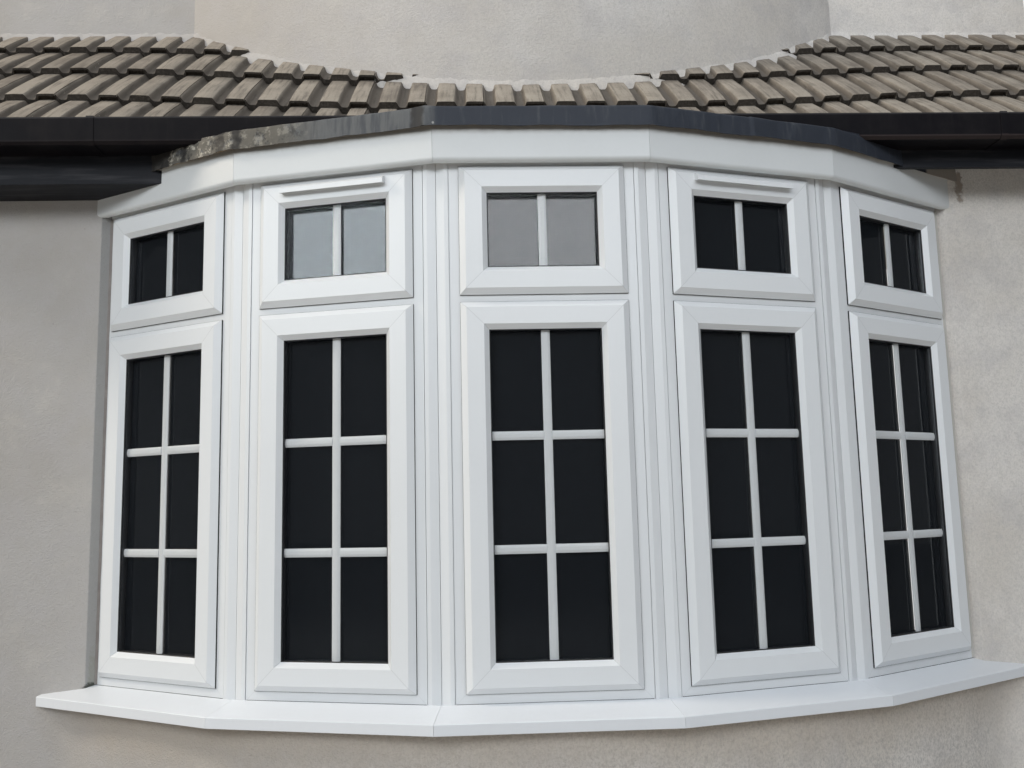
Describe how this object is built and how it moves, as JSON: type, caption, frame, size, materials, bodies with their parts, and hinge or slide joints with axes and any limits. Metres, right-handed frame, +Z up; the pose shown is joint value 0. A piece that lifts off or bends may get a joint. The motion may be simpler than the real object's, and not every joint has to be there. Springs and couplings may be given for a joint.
{
  "type": "bay window",
  "caption": "Bow-fronted bay window of five white lights with fanlights on a curved rendered wall, with a mitred sill and lead roof, under tiled eaves and the upper wall.",
  "frame": {"origin": "centre of the bounding box in plan, on the ground under the part", "axes": "+Z up, front towards -Y, +X to the right seen from the front"},
  "size_m": [4.22, 1.39, 3.55],
  "materials": {
    "white_upvc": "satin white window plastic",
    "sill_upvc": "satin white sill plastic, a little dusty",
    "board_upvc": "white head boards",
    "glass": "clear float glass",
    "render": "painted fine roughcast render",
    "lead": "weathered lead sheet",
    "timber": "sawn softwood",
    "plaster": "matt white plaster",
    "window_board": "white board",
    "handle": "white coated handle",
    "roof_tile": "weathered grey-brown concrete tile",
    "eaves_board": "black painted board",
    "gutter_upvc": "black gutter plastic"
  },
  "bodies": {
    "root": {"bay_ceiling": "plaster", "bay_post_inner_left": "white_upvc", "bay_post_inner_right": "white_upvc", "bay_post_outer_left": "white_upvc", "bay_post_outer_right": "white_upvc", "casement_sash_centre": "white_upvc", "casement_sash_far_left": "white_upvc", "casement_sash_far_right": "white_upvc", "casement_sash_left": "white_upvc", "casement_sash_right": "white_upvc", "dwarf_wall_centre": "render", "dwarf_wall_far_left": "render", "dwarf_wall_far_right": "render", "dwarf_wall_left": "render", "dwarf_wall_right": "render", "eaves_left": "eaves_board", "eaves_right": "eaves_board", "fanlight_sash_centre": "white_upvc", "fanlight_sash_far_left": "white_upvc", "fanlight_sash_far_right": "white_upvc", "fanlight_sash_left": "white_upvc", "fanlight_sash_right": "white_upvc", "fascia": "board_upvc", "floor_deck": "timber", "glazing_centre": "glass", "glazing_far_left": "glass", "glazing_far_right": "glass", "glazing_left": "glass", "glazing_right": "glass", "gutter": "gutter_upvc", "lead_roof": "lead", "outer_frame_centre": "white_upvc", "outer_frame_far_left": "white_upvc", "outer_frame_far_right": "white_upvc", "outer_frame_left": "white_upvc", "outer_frame_right": "white_upvc", "roof_frame": "timber", "roof_timber": "timber", "room_ceiling": "plaster", "sill_centre": "sill_upvc", "sill_far_left": "sill_upvc", "sill_far_right": "sill_upvc", "sill_left": "sill_upvc", "sill_right": "sill_upvc", "tiled_roof": "roof_tile", "trickle_vent_left": "white_upvc", "trickle_vent_right": "white_upvc", "upper_bow_centre": "render", "upper_bow_left": "render", "upper_bow_right": "render", "upper_wall_left": "render", "upper_wall_right": "render", "wall_head": "render", "wall_pier_left": "render", "wall_pier_right": "render", "window_board": "window_board", "window_handles": "handle"}
  },
  "joints": []
}
